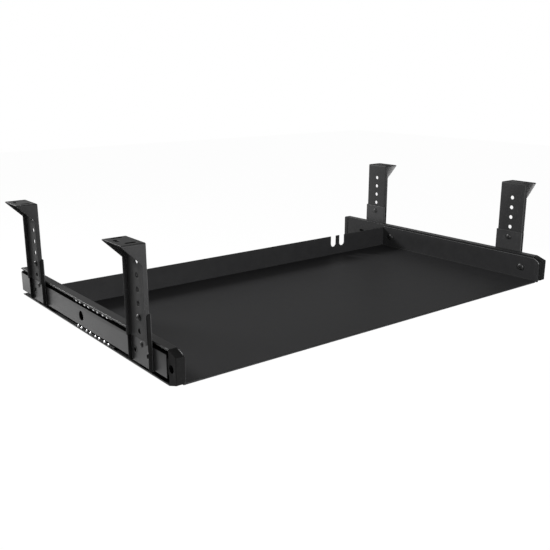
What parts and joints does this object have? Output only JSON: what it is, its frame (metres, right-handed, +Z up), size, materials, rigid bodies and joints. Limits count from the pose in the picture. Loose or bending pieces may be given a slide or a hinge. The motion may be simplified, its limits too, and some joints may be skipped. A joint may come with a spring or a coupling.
{
  "type": "keyboard tray under desk",
  "caption": "Shallow sheet-metal keyboard tray on ball-bearing slides, hung under a desk by folded brackets with height-setting holes.",
  "frame": {"origin": "centre of the bounding box's bottom face with the tray pushed in", "axes": "+Z up towards the desk, -Y towards the user (the way the tray pulls out), +X to the user's right"},
  "size_m": [0.7928, 0.484, 0.1626],
  "materials": {
    "coated_steel": "fine matte black powder coat",
    "blackened_fastener": "black oxide, satin",
    "cap_plastic": "matte",
    "buffer_rubber": "matte",
    "cage_steel": "dark, oiled",
    "ball_steel": "polished"
  },
  "bodies": {
    "desk_mount": {"hanger_front_left": "coated_steel", "hanger_front_right": "coated_steel", "hanger_rear_left": "coated_steel", "hanger_rear_right": "coated_steel", "shoe_front_left": "coated_steel", "shoe_front_right": "coated_steel", "shoe_rear_left": "coated_steel", "shoe_rear_right": "coated_steel", "height_bolts": "blackened_fastener", "sleeve_nuts": "blackened_fastener", "dome_rivets": "blackened_fastener", "hollow_rivets": "blackened_fastener", "rail_left": "coated_steel", "rail_right": "coated_steel", "rail_buffer_left": "buffer_rubber", "rail_buffer_right": "buffer_rubber"},
    "tray": {"tray": "coated_steel", "channel_left": "coated_steel", "channel_right": "coated_steel", "front_cap_left": "cap_plastic", "front_cap_right": "cap_plastic", "cap_screws": "blackened_fastener", "tray_screws": "blackened_fastener", "clinch_nuts": "blackened_fastener"},
    "cage_left": {"cage_left": "cage_steel", "balls_left": "ball_steel"},
    "cage_right": {"cage_right": "cage_steel", "balls_right": "ball_steel"}
  },
  "joints": [
    {"name": "tray_slide", "type": "slide", "parent": "desk_mount", "child": "tray", "axis": [0, -1, 0], "range_m": [0, 0.27]},
    {"name": "cage_left_slide", "type": "slide", "parent": "desk_mount", "child": "cage_left", "axis": [0, -1, 0], "range_m": [0, 0.135]},
    {"name": "cage_right_slide", "type": "slide", "parent": "desk_mount", "child": "cage_right", "axis": [0, -1, 0], "range_m": [0, 0.135]}
  ],
  "couplings": [
    {"joint": "cage_left_slide", "follows": "tray_slide", "ratio": 0.5},
    {"joint": "cage_right_slide", "follows": "tray_slide", "ratio": 0.5}
  ]
}
